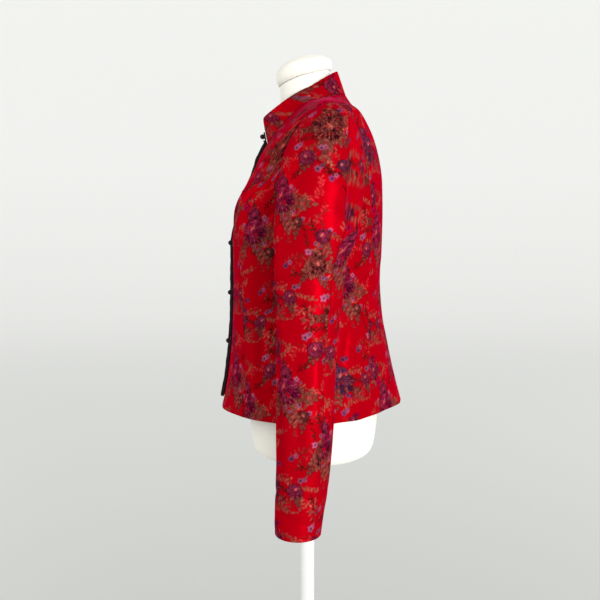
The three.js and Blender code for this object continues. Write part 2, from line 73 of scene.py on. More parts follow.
# How far the chart is moved on the right side from its place on the left.
BODY_CHART_STEP, SLEEVE_CHART_STEP = (71, 97), (33, 120)

SECTION = ("zFront", "zSide", "zBack", "front", "sideY", "back", "half", "squareFront", "squareBack")
BODY = table(SECTION, [
    (823, 828, 832, -150, 12, 165, 201, 1.7, 1.55),
    (860, 862, 865, -142, 11, 156, 196, 1.8, 1.65),
    (900, 901, 902, -136, 10, 147, 187, 2.0, 1.8),
    (939, 939, 939, -132, 9, 139, 177, 2.2, 2.0),
    (977, 977, 977, -129.5, 8, 131, 167, 2.4, 2.2),
    (1013, 1013, 1013, -128.5, 7, 127, 162, 2.5, 2.3),
    (1048, 1048, 1048, -128, 7, 125, 163, 2.6, 2.4),
    (1083, 1083, 1083, -127.5, 8, 127, 166, 2.7, 2.4),
    (1114, 1116, 1118, -126, 9, 128, 170, 2.8, 2.4),
    (1141, 1145, 1150, -119, 11, 128.5, 172, 2.8, 2.4),
    (1166, 1180, 1184, -111, 13, 128, 180, 2.7, 2.4),
    (1188, 1215, 1217, -103, 16, 126.5, 186, 2.6, 2.4),
    (1206, 1250, 1249, -97, 18, 121, 191, 2.5, 2.4),
    (1220, 1280, 1278, -92, 21, 113, 195, 2.4, 2.3),
    (1231, 1303, 1300, -88.5, 25, 102.5, 198, 2.28, 2.3),
    (1241, 1320, 1316, -85.5, 28, 93, 197, 2.15, 2.2),
    (1249, 1326, 1325, -83, 24, 86.5, 175, 2.1, 2.2),
    (1256, 1330.5, 1333.5, -79.5, 18, 80.5, 149, 2.1, 2.1),
    (1263, 1334, 1342, -76.5, 12, 75, 121, 2.1, 2.1),
    (1270, 1337, 1351, -73, 6, 70, 94, 2.1, 2.1),
    (1277, 1340, 1360, -69, 0, 65, 70, 2.1, 2.1),
])
UNDERARM, PRINCESS_TOP, TIP, NECK = 9, 12, 15, 20
RISE_POWER = 1.1
ARMHOLE_FRONT, ARMHOLE_BACK = 26, 38
PRINCESS = table(("section", "frontAngle", "backAngle"), [
    (0, 41, 132), (3, 38, 134), (5, 36, 138), (8, 29, 140), (9, 30, 139), (10.5, 42, 134), (12, 64, 127),
])
BUST = {"depth": 16, "angle": 27, "spread": 19, "height": 1170, "reach": 46}
FLUTES = table(("angle", "spread", "depth", "top"), [
    (18, 9, 2.5, 960), (62, 8, -3, 980), (108, 7, -4, 990), (121, 6, 3.5, 1000), (146, 8, -3.5, 985),
    (164, 7, 2.5, 960), (-22, 9, 2.0, 950), (-66, 8, -3.5, 985), (-112, 7, -3, 980), (-127, 7, 3.5, 995),
    (-150, 8, -3, 975),
])
SLEEVE = table(("z", "x", "y", "halfX", "halfY"), [
    (1128, 218.5, 12, 43, 65), (1100, 219.5, 6, 42.5, 59), (1066, 221.5, 1, 42, 54),
    (1015, 227, 0, 42, 49.5), (975, 232, -2, 41.5, 46.5), (935, 237, -4, 41, 44.5),
    (890, 242, -4.5, 40.5, 43.8), (834, 247, -6, 40.5, 42.8), (780, 249, -8, 40.5, 40.5),
    (740, 250, -11, 41, 39), (710, 250.5, -14, 41.5, 36.8), (678, 251, -16, 42, 34.5),
])
SLEEVE_END = 12
BACK_SLEEVE_SEAM, FRONT_SLEEVE_SEAM = -40, 120
COLLAR_TOP = table(SECTION, [(1319, 1364, 1399, -77, -2, 52, 57, 2.1, 2.1)])
COLLAR_END, COLLAR_CORNER = 2, 17
SEAT_Z = 748
FORM = table(SECTION, [
    (SEAT_Z, SEAT_Z, SEAT_Z, -84, 10, 104, 140, 2.2, 2.2), (762, 762, 762, -96, 10, 116, 152, 2.2, 2.2),
    (830, 830, 830, -102, 10, 123, 163, 2.2, 2.2), (900, 900, 900, -100, 9, 116, 156, 2.2, 2.2),
    (960, 960, 960, -92, 7, 92, 134, 2.2, 2.2), (1013, 1013, 1013, -86, 5, 80, 123, 2.2, 2.2),
    (1070, 1070, 1070, -94, 6, 94, 134, 2.3, 2.2), (1130, 1130, 1132, -104, 8, 108, 146, 2.5, 2.3),
    (1168, 1176, 1182, -101, 11, 115, 155, 2.5, 2.3), (1200, 1222, 1226, -88, 15, 114, 166, 2.4, 2.3),
    (1222, 1262, 1266, -76, 19, 106, 176, 2.3, 2.2), (1238, 1290, 1294, -70, 23, 95, 175, 2.2, 2.2),
    (1250, 1308, 1314, -65, 20, 84, 152, 2.1, 2.1), (1262, 1320, 1332, -60, 12, 72, 118, 2.1, 2.1),
    (1278, 1330, 1348, -54, 4, 58, 80, 2.0, 2.0), (1304, 1344, 1366, -48, -2, 45, 54, 2.0, 2.0),
    (1340, 1366, 1384, -46.5, -4, 40, 47, 2.0, 2.0), (1374.5, 1388, 1401.5, -47.5, -4.5, 38.5, 46, 2.0, 2.0),
])
NECK_CAP = table(SECTION, [
    (1375, 1388.5, 1402, -49, -4.5, 40, 47.5, 2.0, 2.0), (1381, 1394, 1407, -53, -5.5, 42, 50.5, 2.0, 2.0),
    (1393, 1404, 1414, -54, -6, 42, 51, 2.0, 2.0), (1405, 1413, 1420, -48.5, -5, 39, 47, 2.0, 2.0),
    (1416, 1421, 1425, -34, -3, 29, 34, 2.0, 2.0), (1423, 1425.5, 1427.5, -16, 0, 15, 16, 2.0, 2.0),
])
BAND_WIDTH, BAND_PROUD, BAND_FOOT, BAND_INSET, BAND_TOP_Z = 13, 8, 12, 1, 1287
BAND_FLOOR = 0.6  # from the cloth to the back of the band
BAND_BEHIND = 7  # the column that lies behind the band
ABOVE_NECK_LEAN, NECK_BEND = 0.2, 8
KNOT_HEIGHTS = (1290, 1192, 1107, 1021, 936)
KNOT_X, KNOT_PROUD, KNOT_RADIUS, LOOP_PROUD = 8.5, 6.2, 4.5, 2.2
LOOP_CORD = 1.3  # half the thickness of the cord, as SHANK_CORD is
SHANK_RADIUS, SHANK_CORD, SHANK_PROUD = 1.2, 1.0, 1.9

# Soft creases of the body. A crease leans up by lean degrees towards the back, and is a trough where depth is
# below 0. Angles below 0 are on the right side, which has creases of its own.
BODY_CREASES = table(("angle", "height", "length", "width", "lean", "depth"), [
    (66, 1003, 34, 5.5, 6, -2.4), (60, 1022, 40, 8, 12, 1.3), (52, 988, 46, 7, -4, -1.1),
    (67, 872, 26, 5, -8, -2.0), (58, 884, 34, 8, -3, 1.0), (48, 846, 50, 9, 4, -1.0),
    (62, 1148, 46, 7, 38, -1.8), (56, 1128, 40, 9, 30, 1.0), (70, 1090, 38, 6, 22, -1.5),
    (72, 1268, 50, 6, 82, -1.6), (66, 1252, 46, 7, 78, 1.0), (44, 1236, 40, 9, 60, -0.8),
    (118, 1030, 52, 7, -10, -1.7), (126, 1008, 46, 8, -6, 1.1), (140, 1046, 60, 8, 4, -1.5),
    (150, 1022, 66, 7, -3, -1.7), (160, 1066, 54, 9, 6, -1.1), (134, 1122, 46, 8, 64, -1.3),
    (128, 1210, 60, 8, 80, -1.4), (138, 1250, 50, 10, 70, 0.9), (112, 940, 60, 7, 80, -1.3),
    (-64, 1008, 36, 6, 8, -2.1), (-58, 1030, 40, 8, 10, 1.2), (-68, 880, 30, 5.5, -5, -1.7),
    (-60, 1140, 48, 8, 35, -1.6), (-70, 1086, 34, 6, 20, -1.4), (-70, 1262, 48, 6.5, 80, -1.5),
    (-50, 1232, 42, 9, 62, -0.9), (-120, 1026, 50, 7, -8, -1.6), (-142, 1042, 62, 8, 5, -1.4),
    (-152, 1018, 58, 7, -4, -1.6), (-136, 1118, 50, 8, 66, -1.2), (-129, 1214, 56, 8, 78, -1.3),
    (-110, 944, 64, 7, 82, -1.2), (-30, 1100, 60, 10, 70, -0.8), (28, 1094, 64, 10, 72, -0.8),
    (56, 930, 190, 10, 88, -1.6), (46, 950, 170, 12, 92, 1.2), (36, 900, 130, 10, 86, -1.0),
    (-57, 935, 180, 10, 87, -1.5), (-45, 940, 160, 12, 93, 1.1), (130, 920, 180, 11, 86, -1.5),
    (150, 930, 200, 12, 90, 1.1), (168, 900, 170, 11, 92, -1.2), (-132, 915, 170, 11, 87, -1.4),
    (-155, 925, 190, 12, 91, 1.0), (74, 1120, 120, 8, 82, -1.6), (-76, 1115, 110, 8, 84, -1.5),
])
# Soft creases of a sleeve, by turn round it and height. They are shallower on the right sleeve.
SLEEVE_CREASES = table(("turn", "height", "length", "width", "lean", "depth"), [
    (96, 1022, 34, 6, 28, -2.2), (84, 1040, 40, 8, 24, 1.4), (70, 1000, 44, 7, 18, -1.3),
    (104, 982, 30, 6, -16, -1.8), (40, 1046, 46, 9, 10, -0.9), (-52, 1004, 42, 7, 22, -1.6),
    (-64, 1028, 36, 8, 16, 1.2), (-36, 968, 50, 9, 12, -1.0), (-70, 1092, 40, 7, 40, -1.9),
    (-58, 1118, 44, 8, 46, 1.3), (-46, 1150, 50, 8, 52, -1.4), (70, 1142, 46, 8, -50, -1.6),
    (58, 1170, 52, 10, -46, 1.1), (80, 1096, 38, 7, -40, -1.5), (20, 892, 56, 10, 78, -0.9),
    (64, 852, 60, 9, 84, -1.1), (-30, 820, 64, 9, 80, -1.1), (30, 760, 50, 9, 70, 0.9),
    (92, 742, 34, 7, 18, -1.2), (-60, 742, 36, 7, -12, -1.3), (10, 1226, 70, 9, 84, 0.8),
    (34, 1250, 46, 7, 70, -1.0), (-30, 1246, 46, 7, -70, -1.1), (150, 1010, 36, 6, 6, -1.8),
    (-150, 990, 36, 7, 8, -1.6), (170, 930, 50, 8, 70, -1.0), (62, 880, 250, 9, 86, -2.0),
    (40, 870, 230, 11, 91, 1.5), (14, 860, 200, 10, 88, -1.3), (-40, 900, 240, 10, 90, -1.7),
    (-20, 930, 200, 12, 87, 1.2), (48, 1180, 150, 11, 80, -1.5), (26, 1190, 130, 12, 84, 1.1),
    (-42, 1180, 140, 11, 98, -1.3), (84, 1060, 90, 8, 74, -1.6), (120, 860, 220, 10, 92, -1.4),
    (-110, 880, 220, 10, 88, -1.4), (30, 712, 60, 8, 12, -0.9), (54, 690, 50, 7, 8, 0.8),
])

# ---- surfaces


def along(column, v):
    """A column's smooth value at fractional section numbers, by a Catmull-Rom curve."""
    last = len(column) - 1
    i = np.clip(np.floor(v).astype(int), 0, max(last - 1, 0))
    t = v - i
    a, b, c, d = (column[np.clip(i + k, 0, last)] for k in (-1, 0, 1, 2))
    return b + 0.5 * t * (c - a + t * (2 * a - 5 * b + 4 * c - d + t * (3 * (b - c) + d - a)))


def section_point(sections, angle, v):
    """Points of sections at angles in degrees from centre front, by the wearer's left, to centre back."""
    angle, v = np.broadcast_arrays(np.asarray(angle, float), np.asarray(v, float))
    cos, sin = np.cos(np.radians(angle)), np.sin(np.radians(angle))
    get = {name: along(sections[name], v) for name in SECTION}
    ahead = cos > 0
    power = 2 / np.where(ahead, get["squareFront"], get["squareBack"])
    depth = np.abs(cos) ** power
    rise = np.abs(cos) ** RISE_POWER
    x = get["half"] * np.sign(sin) * np.abs(sin) ** power
    y = get["sideY"] + (np.where(ahead, get["front"], get["back"]) - get["sideY"]) * depth
    z = get["zSide"] + (np.where(ahead, get["zFront"], get["zBack"]) - get["zSide"]) * rise
    return np.stack([x, y, z], -1)


def bell(offset, spread):
    return np.exp(-((offset / spread) ** 2))


def body_point(angle, v):
    """The outer face of the jacket's body, before its creases."""
    p = section_point(BODY, angle, v)
    angle = np.broadcast_to(angle, p.shape[:-1])
    p[..., 1] -= (BUST["depth"] * bell(np.abs(angle) - BUST["angle"], BUST["spread"])
                  * bell(p[..., 2] - BUST["height"], BUST["reach"]))
    hem = BODY["zSide"][0]
    out = np.zeros(angle.shape)
    for turn, spread, depth, top in zip(*FLUTES.values()):
        share = np.clip((top - p[..., 2]) / (top - hem), 0, 1)
        out += depth * share**2 * bell(angle - turn, spread)
    radius = np.maximum(np.hypot(p[..., 0], p[..., 1]), 1e-6)
    p[..., 0] += out * p[..., 0] / radius
    p[..., 1] += out * p[..., 1] / radius
    return p


def armhole(v, width):
    share = np.clip((v - UNDERARM) / (TIP - UNDERARM), 0, 1)
    return 90 + width * np.sqrt(np.maximum(0, 1 - (2 * share - 1) ** 2))


def armhole_front(v):
    return armhole(v, -ARMHOLE_FRONT)


def armhole_back(v):
    return armhole(v, ARMHOLE_BACK)


def front_seam(v):
    return np.minimum(np.interp(v, PRINCESS["section"], PRINCESS["frontAngle"]), armhole_front(v) - 0.1)


def back_seam(v):
    return np.maximum(np.interp(v, PRINCESS["section"], PRINCESS["backAngle"]), armhole_back(v) + 0.1)


def front_edge(v):
    return np.where(v <= PRINCESS_TOP, front_seam(v), armhole_front(v))


def back_edge(v):
    return np.where(v <= PRINCESS_TOP, back_seam(v), armhole_back(v))


def sleeve_point(turn, v):
    """The outer face of the left sleeve. v is 0 at the armhole, 1 at the biceps, SLEEVE_END at the cuff."""
    turn, v = np.broadcast_arrays(np.asarray(turn, float), np.asarray(v, float))
    cos, sin = np.cos(np.radians(turn)), np.sin(np.radians(turn))
    get = {name: along(column, np.maximum(v - 1, 0)) for name, column in SLEEVE.items()}
    low = np.stack([get["x"] + get["halfX"] * cos, get["y"] - get["halfY"] * sin, get["z"]], -1)
    section = UNDERARM + (TIP - UNDERARM) * (1 + cos) / 2
    start = body_point(np.where(sin >= 0, armhole_front(section), armhole_back(section)), section)
    start[..., 0] += ARMHOLE_GAP
    swing = np.radians(90 * np.clip(v, 0, 1))
    cap = np.stack([
        start[..., 0] + (low[..., 0] - start[..., 0]) * np.sin(swing),
        start[..., 1] + (low[..., 1] - start[..., 1]) * (1 - np.cos(swing)),
        low[..., 2] + (start[..., 2] - low[..., 2]) * np.cos(swing),
    ], -1)
    return np.where(v[..., None] < 1, cap, low)


# ---- grids of cloth


def steps(points):
    """Lengths between neighbours along the last axis but one, summed from 0."""
    length = np.linalg.norm(np.diff(points, axis=-2), axis=-1)
    return np.concatenate([np.zeros(length.shape[:-1] + (1,)), np.cumsum(length, -1)], -1)


def normals(points):
    """Unit normals of a grid whose rows run upwards and whose columns run round to the wearer's left."""
    n = np.cross(np.gradient(points, axis=1), np.gradient(points, axis=0))
    return n / np.maximum(np.linalg.norm(n, axis=-1, keepdims=True), 1e-9)


def even_grid(point, from_edge, to_edge, low, high, spacing):
    """Points of a surface between two edges, evenly spaced, with the angles that they are at."""
    rough = np.linspace(low, high, ROUGH_ROWS)
    middle = (from_edge(rough) + to_edge(rough)) / 2
    length = steps(point(middle, rough))
    rows = np.interp(np.linspace(0, length[-1], int(length[-1] / spacing) + 2), length, rough)
    start, end = from_edge(rows), to_edge(rows)
    shares = np.linspace(0, 1, ROUGH_COLUMNS)
    angle = start[:, None] + (end - start)[:, None] * shares
    across = steps(point(angle, rows[:, None]))
    columns = int(np.percentile(across[:, -1], USUAL_WIDTH) / spacing) + 2
    even = np.linspace(0, 1, columns)
    inset = np.minimum(HALF_GAP, across[:, -1] / 4)
    goals = inset[:, None] + even * (across[:, -1] - 2 * inset)[:, None]
    fitted = np.stack([np.interp(g, a, row) for g, a, row in zip(goals, across, angle)])
    return point(fitted, rows[:, None]), fitted


def creased(points, angle, creases, scale, strength=1.0):
    """Moves a grid in or out by its table of creases. scale is millimetres to a degree round the piece."""
    out = np.zeros(angle.shape)
    for turn, height, length, width, lean, depth in zip(*creases.values()):
        across = ((angle - turn + 180) % 360 - 180) * scale
        up = points[..., 2] - height
        cos, sin = heading_of(lean)
        out += depth * bell(across * cos + up * sin, length / 2) * bell(up * cos - across * sin, width)
    return points + normals(points) * (out * strength)[..., None]


def flat_lay(points, over):
    """Each point's place on the flat cloth, its grain upright, and towards over on the shoulder's top."""
    n = normals(points)
    aim = np.array([0.0, 0.0, 1.0]) + 2 * np.maximum(n[..., 2:], 0) * np.array(over, float)
    upward = aim - n * (aim * n).sum(-1, keepdims=True)
    upward /= np.linalg.norm(upward, axis=-1, keepdims=True)
    sideways = np.cross(upward, n)
    across = (np.diff(points, axis=1) * (sideways[:, 1:] + sideways[:, :-1]) / 2).sum(-1)
    across = np.concatenate([np.zeros((len(points), 1)), np.cumsum(across, 1)], 1)
    middle = points.shape[1] // 2
    drift = (np.diff(points[:, middle], axis=0) * (sideways[1:, middle] + sideways[:-1, middle]) / 2).sum(-1)
    across += (np.concatenate([[0], np.cumsum(drift)]) - across[:, middle])[:, None]
    up = (np.diff(points, axis=0) * (upward[1:] + upward[:-1]) / 2).sum(-1)
    up = points[:1, :, 2] + np.concatenate([np.zeros((1, points.shape[1])), np.cumsum(up, 0)])
    return np.stack([across, up], -1)


def rolled(points, flat, turn_low=0.0):
    """Gives a sheet of cloth its thickness at its edges, and turns it up inside by turn_low at the foot."""
    n = normals(points)
    edge = np.minimum(
        np.linalg.norm(points - points[:, :1], axis=-1), np.linalg.norm(points - points[:, -1:], axis=-1))
    points = points - n * (EDGE_SINK * bell(edge, EDGE_REACH))[..., None]
    inner = points - n * CLOTH
    low = [inner[0]]
    low_flat = [flat[0]]
    if turn_low:
        up = steps(points.transpose(1, 0, 2)).T[:, points.shape[1] // 2]
        for reach in np.linspace(turn_low / TURN_ROWS, turn_low, TURN_ROWS):
            i = int(np.searchsorted(up, reach))
            low.insert(0, inner[i])
            low_flat.insert(0, flat[i])
    points = np.concatenate([np.stack(low), points, inner[-1:]])
    flat = np.concatenate([np.stack(low_flat), flat, flat[-1:]])
    feet = len(low)
    left = np.concatenate([points[:feet, :1], inner[:, :1], points[-1:, :1]])
    right = np.concatenate([points[:feet, -1:], inner[:, -1:], points[-1:, -1:]])
    points = np.concatenate([left, points, right], 1)
    flat = np.concatenate([flat[:, :1], flat, flat[:, -1:]], 1)
    return points, flat


def quads_of(points, wrap):
    """The quads of a grid, whose columns close into a ring if wrap is true."""
    rows, columns = points.shape[:2]
    i, j = np.meshgrid(np.arange(rows - 1), np.arange(columns if wrap else columns - 1), indexing="ij")
    k = (j + 1) % columns
    quads = np.stack([i * columns + j, i * columns + k, (i + 1) * columns + k, (i + 1) * columns + j], -1)
    return quads.reshape(-1, 4)


def new_object(name, points, quads, looks, colours=None, flat=None):
    """A smooth mesh from points in millimetres, with its place on the flat cloth and its chart's colours."""
    data = bpy.data.meshes.new(name)
    data.vertices.add(len(points))
    data.vertices.foreach_set("co", (points * MM).astype(np.float32).ravel())
    data.loops.add(quads.size)
    data.loops.foreach_set("vertex_index", quads.astype(np.int32).ravel())
    data.polygons.add(len(quads))
    data.polygons.foreach_set("loop_start", np.arange(0, quads.size, 4, dtype=np.int32))
    data.polygons.foreach_set("use_smooth", np.ones(len(quads), bool))
    if colours is not None:
        data.attributes.new("chart", "FLOAT_COLOR", "POINT").data.foreach_set(
            "color", colours.reshape(-1, 4).astype(np.float32).ravel())
    if flat is not None:
        place = np.concatenate([flat, np.zeros(flat.shape[:-1] + (1,))], -1).reshape(-1, 3)
        data.attributes.new("flat", "FLOAT_VECTOR", "POINT").data.foreach_set(
            "vector", place.astype(np.float32).ravel())
    data.update(calc_edges=True)
    data.validate()
    made = bpy.data.objects.new(name, data)
    bpy.context.collection.objects.link(made)
    data.materials.append(looks)
    return made


def mesh_of(name, points, looks, colours=None, flat=None, wrap=False):
    """A piece on the root body from one grid of points."""
    piece = new_object(name, points.reshape(-1, 3), quads_of(points, wrap), looks, colours, flat)
    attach(piece, "root")
    return piece


def shown_for(piece, cad_node):
    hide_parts(cad_node)


# ---- the brocade's chart


def srgb(r, g, b):
    c = np.array([r, g, b], float) / 255
    return np.where(c <= 0.04045, c / 12.92, ((c + 0.055) / 1.055) ** 2.4)


GROUND, PLUM, PURPLE, MAGENTA = srgb(156, 0, 14), srgb(38, 2, 16), srgb(70, 6, 40), srgb(136, 8, 52)
ORCHID, VIOLET, MAUVE = srgb(188, 62, 96), srgb(104, 48, 88), srgb(146, 74, 104)
TAN, SALMON, OLIVE, BROWN = srgb(184, 88, 74), srgb(190, 44, 48), srgb(70, 22, 20), srgb(46, 4, 12)

REPEAT_ACROSS, REPEAT_UP = 186.0, 232.0
PIXEL = 0.5  # between the chart's cells as drawn
WOVEN_SCALE = 1.2  # how much larger it is woven
CELLS_ACROSS, CELLS_UP = int(2 * REPEAT_ACROSS / PIXEL), int(REPEAT_UP / PIXEL)
chart = np.empty((CELLS_UP, CELLS_ACROSS, 4))
chart[..., :3] = GROUND
chart[..., 3] = 0


def dab(x, y, reach, shape):
    """Weaves a shape in both half-drop places. shape gives cover and colour for offsets in millimetres."""
    for drop in (0, 1):
        cx, cy = x + drop * REPEAT_ACROSS, y + drop * REPEAT_UP / 2
        i = np.arange(int((cy - reach) // PIXEL), int((cy + reach) // PIXEL) + 2)
        j = np.arange(int((cx - reach) // PIXEL), int((cx + reach) // PIXEL) + 2)
        cover, tint = shape((j * PIXEL - cx)[None, :], (i * PIXEL - cy)[:, None])
        at = np.ix_(i % CELLS_UP, j % CELLS_ACROSS)
        old = chart[at]
        cover = cover[..., None]
        new = np.concatenate([np.broadcast_to(tint, old[..., :3].shape), np.ones_like(cover)], -1)
        chart[at] = old + cover * (new - old)


def heading_of(angle):
    """The cosine and sine of an angle in degrees."""
    return math.cos(math.radians(angle)), math.sin(math.radians(angle))


def beyond(x, y, far, angle):
    cos, sin = heading_of(angle)
    return x + far * cos, y + far * sin


def blade(x, y, angle, length, width, fill, rim, vein, solid=1.0, power=1.3, veins=0, line=1.0):
    """A petal or a leaf from its base at x, y, filled from dark to light along it and drawn round in rim.

    veins is how many streaks run along a petal, or 0 for a leaf's ribs. solid is how much it hides.
    """
    cos, sin = heading_of(angle)
    base, tip = fill

    def shape(dx, dy):
        u = (dx * cos + dy * sin) / length
        w = (dy * cos - dx * sin) / width
        inside = np.clip(u, 0, 1)
        half = np.sin(np.pi * inside**power) ** (0.6 if veins else 0.9)
        room = (half - np.abs(w)) * width
        within = np.clip(room / 0.6 + 0.5, 0, 1) * (u > -0.02) * (u < 1.02)
        if veins:
            wave = np.cos(veins * np.pi * w * (1.2 - 0.3 * inside))
            streak = np.clip(wave * 3 - 1.9, 0, 1) * (inside > 0.3)
        else:
            ribs = np.cos((inside * length / 4.6 - np.abs(w) * 1.2) * 2 * np.pi) * 2.4 - 1.5
            streak = np.clip(np.maximum(ribs, 1.4 - np.abs(w) * width / 0.5), 0, 1)
        near = np.clip(1.3 - room / line, 0, 1)
        tint = base + (tip - base) * (inside**1.5)[..., None]
        tint = tint + (vein - tint) * (0.85 * streak)[..., None]
        tint = tint + (rim - tint) * near[..., None]
        return within * np.maximum.reduce([solid + 0 * near, 0.95 * near, 0.85 * streak]), tint

    dab(x, y, max(length, width) * 1.05, shape)


def lens(x, y, angle, length, half, tint):
    """A plain slim leaf."""
    cos, sin = heading_of(angle)

    def shape(dx, dy):
        u = (dx * cos + dy * sin) / length
        w = dy * cos - dx * sin
        room = half * np.sin(np.pi * np.clip(u, 0, 1) ** 0.8) - np.abs(w)
        return np.clip(room / 0.5 + 0.6, 0, 1) * (u > 0) * (u < 1), tint

    dab(x, y, length + 0.5, shape)


def dot(x, y, radius, tint):
    dab(x, y, radius + 1, lambda dx, dy: (np.clip((radius - np.hypot(dx, dy)) / 0.5 + 0.5, 0, 1), tint))


def petal(x, y, angle, length, half, fill, rim, vein, veins=3):
    """A petal with its shadow woven round it."""
    blade(x, y, angle, length + 0.9, half + 0.8, (PLUM, PLUM), PLUM, PLUM, 0.95, 2.2, 1)
    blade(x, y, angle, length, half, fill, rim, vein, 1.0, 2.2, veins, 0.62)


def uneven(*values):
    """A fixed number from -1 to 1 that differs for each set of values."""
    return math.sin(sum((12.9 + 7.3 * k) * value for k, value in enumerate(values)) + 1)


def peony(x, y, size, turn, deep, mid, light):
    """A full flower of short cupped petals in rings, lit from above, each ring over the one outside it."""
    for ring, (count, start, long, half) in enumerate((
            (9, 0.50, 0.52, 0.25), (8, 0.28, 0.50, 0.22), (6, 0.10, 0.44, 0.19), (4, 0.0, 0.30, 0.14))):
        rise = 0.1 * size * ring * (1 if ring < 3 else 0.6)
        for k in range(count):
            odd = uneven(k, ring, turn)
            angle = turn + 360 * k / count + 23 * ring + 11 * odd
            cos, sin = heading_of(angle)
            down = 0.5 - 0.5 * math.sin(math.radians(angle - 30))
            kind = int(50 + 49 * odd) % 5
            tip = (mid, deep, mid * 0.5 + light * 0.5, mid, GROUND * 0.7)[kind]
            far = size * start * (1 + 0.15 * odd)
            petal(x + 1.08 * far * cos, y + rise + 0.9 * far * sin, angle + 16 * odd,
                  size * long * (1 + 0.25 * odd), size * half, (PLUM, tip * (1 - 0.55 * down)),
                  light * (1 - 0.5 * down), mid if kind % 2 else light * 0.8, 2)


def blossom(x, y, size, turn, fill):
    """A small flower of five plain petals about a dark eye."""
    for k in range(5):
        odd = uneven(k, x, y)
        lens(x, y, turn + 72 * k + 10 * odd, size * (1 + 0.15 * odd), size * 0.36, fill * (0.85 + 0.3 * odd))
    dot(x, y, size * 0.26, PLUM)


def spray(x, y, angle, length, bend, leaf, tint, gap=2.7):
    """A curved stem with slim leaves by turns on each side, and now and then a twig or a bud."""
    count = max(int(length / gap), 2)
    tint = tint * (0.8 + 0.25 * uneven(x, y))
    for k in range(count + 1):
        share = k / count
        heading = angle + bend * share
        for part in range(3 if k else 0):
            way = math.radians(heading - bend * (1 - part / 3) / count)
            x += gap / 3 * math.cos(way)
            y += gap / 3 * math.sin(way)
            dot(x, y, 0.38, tint * 0.5)
        odd = uneven(k, x, y)
        side = 1 if k % 2 else -1
        if odd > -0.85:
            lens(x, y, heading + side * (44 + 16 * odd), leaf * (1.1 - 0.4 * share) * (1 + 0.3 * odd),
                 0.85 + 0.15 * odd, tint * (0.66 + 0.34 * odd))
        if k % 5 == 3 and gap < 3:
            spray(x, y, heading - side * 38, leaf * 1.9, side * 30, leaf * 0.75, tint, 3.1)


def garland(x, y, angle, length, bend, leaf, rim):
    """A hanging stem of ribbed leaves in pairs, smaller towards its tip."""
    count = max(int(length / (0.62 * leaf)), 2)
    for k in range(count + 1):
        share = k / count
        heading = angle + bend * share
        odd = uneven(k, x, y)
        shade = 0.7 + 0.3 * odd
        size = leaf * (1.1 - 0.5 * share) * (1 + 0.2 * odd)
        for side in (-1, 1) if k < count else (0,):
            turn = heading + side * (40 + 12 * odd)
            blade(x, y, turn, size + 0.8, size * 0.24 + 0.7, (PLUM, PLUM), PLUM, PLUM, 0.8, 1.1, 1)
            line = rim * shade
            blade(x, y, turn, size, size * 0.24, (BROWN, OLIVE), line, line * 0.8, 1.0, 1.1, 0, 0.5)
        x, y = beyond(x, y, length / count, heading)


def cluster(x, y, size, turn, palette, garlands, sprays, blossoms):
    """A flower and a lesser one above it, with hanging leaves, sprays, and small flowers round them."""
    deep, mid, light, rim, spray_tint, small = palette
    for k in range(sprays):
        odd = uneven(k, turn)
        angle = turn + 360 * k / sprays + 20 * odd
        spray(*beyond(x, y, 0.6 * size, angle), angle,
              size * (1.2 + 0.5 * odd) + 13, 80 * (1 if k % 2 else -1), 5.2, (rim, spray_tint, OLIVE)[k % 3])
    for k in range(garlands):
        odd = uneven(k, turn, 2)
        angle = 270 + (k - (garlands - 1) / 2) * 62 + 18 * odd
        garland(*beyond(x, y, 0.5 * size, angle), angle,
                size * (1.3 + 0.3 * odd) + 5, 34 * odd, 6.5 + size * 0.22, rim)
    for k in range(blossoms):
        odd = uneven(k, turn, 3)
        angle = turn + 40 + 360 * k / blossoms + 30 * odd
        at = beyond(x, y, size * (1.25 + 0.35 * odd) + 3, angle)
        blossom(*at, 4.3 + 1.1 * odd, 20 * k, small)
        blossom(at[0] + 5.5, at[1] + 4 * odd, 3 + 0.6 * odd, 31 * k, small * 0.75)
    if size > 10:
        lesser = deep * 0.5 + mid * 0.5
        peony(x + 0.55 * size * uneven(turn), y + 0.95 * size, size * 0.6, turn + 50, deep, lesser, light)
    peony(x, y, size, turn, deep, mid, light)
    for k in range(3):
        odd = uneven(k, turn, 5)
        lens(x + 0.2 * size * odd, y + 0.15 * size, turn + 80 + 50 * k, size * 0.3, 0.7, TAN)


ROSE = (PURPLE, MAGENTA, ORCHID, TAN, SALMON, MAUVE)
IRIS = (PURPLE, VIOLET * 0.6, MAUVE, TAN, SALMON, VIOLET)
BRONZE = (BROWN, OLIVE, TAN, TAN, SALMON, MAUVE)
DUSK = (PLUM, PURPLE, ORCHID, TAN, SALMON, MAGENTA)

# Each flower of the repeat: its middle, size and turn in millimetres and degrees, its colours, and how many
# hanging stems, sprays and pairs of small flowers it has.
CLUSTERS = (
    (38, 110, 11, 50, DUSK, 1, 4, 2), (168, 46, 15, 20, IRIS, 1, 5, 3),
    (106, 212, 12, 80, BRONZE, 3, 5, 2), (26, 176, 17, 10, IRIS, 2, 6, 3),
    (100, 110, 10, 60, ROSE, 1, 4, 2), (180, 116, 10, 100, DUSK, 1, 4, 2),
    (114, 14, 10, 30, ROSE, 1, 5, 2), (6, 22, 8, 70, BRONZE, 1, 4, 1), (160, 210, 11, 0, DUSK, 1, 5, 2),
    (70, 172, 8, 10, ROSE, 1, 4, 1), (82, 30, 7, 70, BRONZE, 1, 3, 1), (144, 100, 8, 30, IRIS, 1, 4, 1),
    (134, 148, 20, 75, BRONZE, 4, 7, 3), (58, 60, 20, 25, ROSE, 3, 7, 3),
)
